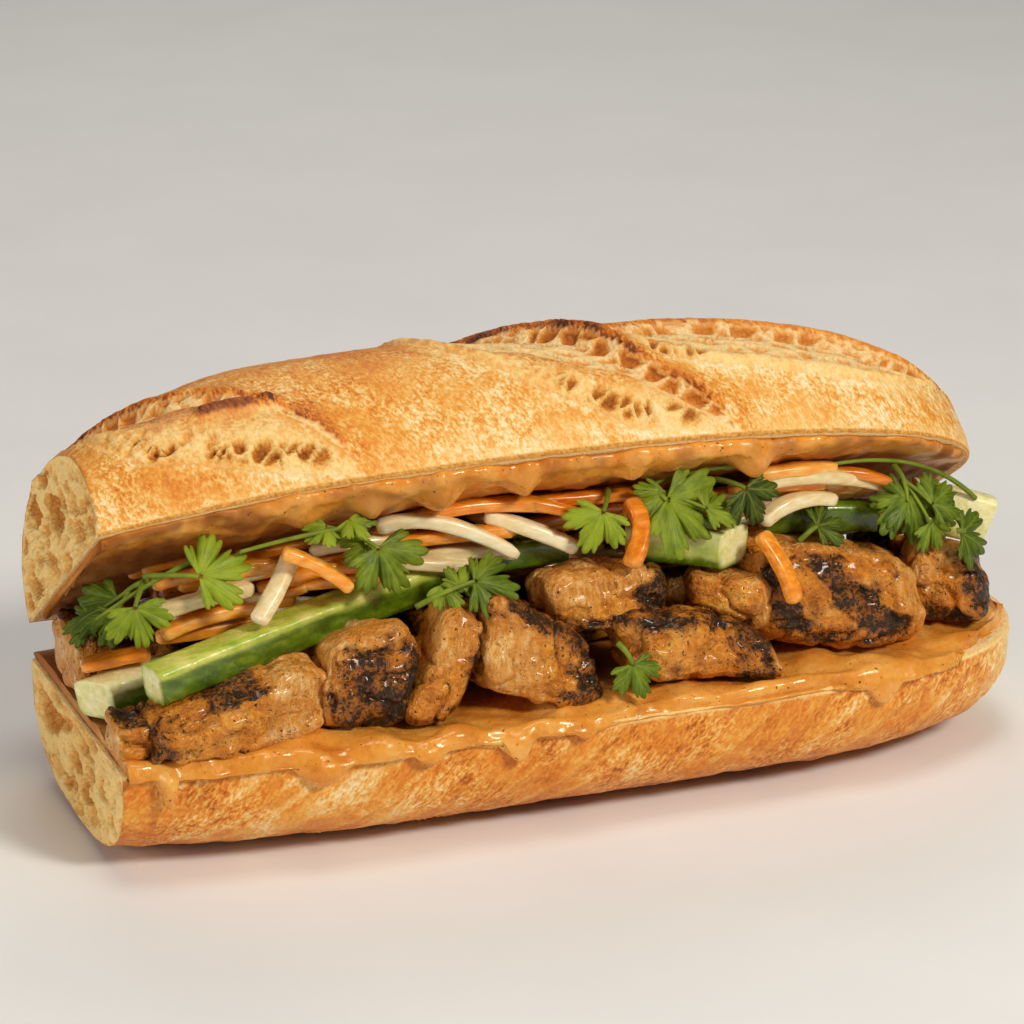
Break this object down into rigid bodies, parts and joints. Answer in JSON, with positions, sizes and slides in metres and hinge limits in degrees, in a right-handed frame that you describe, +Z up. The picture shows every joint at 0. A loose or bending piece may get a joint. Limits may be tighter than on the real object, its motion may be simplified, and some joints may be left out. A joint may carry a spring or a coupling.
{
  "type": "banh mi sandwich",
  "caption": "Banh mi: a short baguette split along its front, its top half tilted open over grilled chicken, sauce, cucumber, shredded carrot and daikon, and cilantro.",
  "frame": {"origin": "on the surface the sandwich rests on, under the middle of its bounding box", "axes": "+X along the loaf from its cut end to its rounded heel, +Y towards the closed back, +Z up"},
  "size_m": [0.2323, 0.1026, 0.106],
  "materials": {
    "crust": "baked golden crust, satin",
    "sauce": "glossy spiced mayonnaise",
    "chicken": "glazed and charred, satin",
    "cucumber": "wet skin and pale flesh",
    "daikon": "wet, slightly translucent",
    "carrot": "wet, satin",
    "cilantro": "fresh leaf, satin"
  },
  "bodies": {
    "root": {"bread_bottom": "crust", "bread_top": "crust", "sauce_bottom": "sauce", "sauce_top": "sauce", "chicken_end_slice": "chicken", "chicken_end_scrap": "chicken", "chicken_front_1": "chicken", "chicken_front_2": "chicken", "chicken_front_3": "chicken", "chicken_front_4": "chicken", "chicken_front_5": "chicken", "chicken_front_6": "chicken", "chicken_front_7": "chicken", "chicken_front_8": "chicken", "chicken_front_9": "chicken", "chicken_front_10": "chicken", "chicken_back_1": "chicken", "chicken_back_2": "chicken", "chicken_back_3": "chicken", "chicken_back_4": "chicken", "cucumber_1": "cucumber", "cucumber_2": "cucumber", "cucumber_3": "cucumber", "cucumber_4": "cucumber", "cucumber_5": "cucumber", "cucumber_6": "cucumber", "slaw_heap": "carrot", "daikon_1": "daikon", "daikon_2": "daikon", "daikon_3": "daikon", "daikon_4": "daikon", "daikon_5": "daikon", "daikon_6": "daikon", "carrot_1": "carrot", "carrot_2": "carrot", "carrot_3": "carrot", "carrot_4": "carrot", "carrot_5": "carrot", "cilantro_1": "cilantro", "cilantro_2": "cilantro", "cilantro_3": "cilantro", "cilantro_4": "cilantro", "cilantro_5": "cilantro", "cilantro_6": "cilantro", "cilantro_7": "cilantro", "cilantro_8": "cilantro", "cilantro_9": "cilantro", "cilantro_10": "cilantro", "cilantro_11": "cilantro", "cilantro_12": "cilantro"}
  },
  "joints": []
}
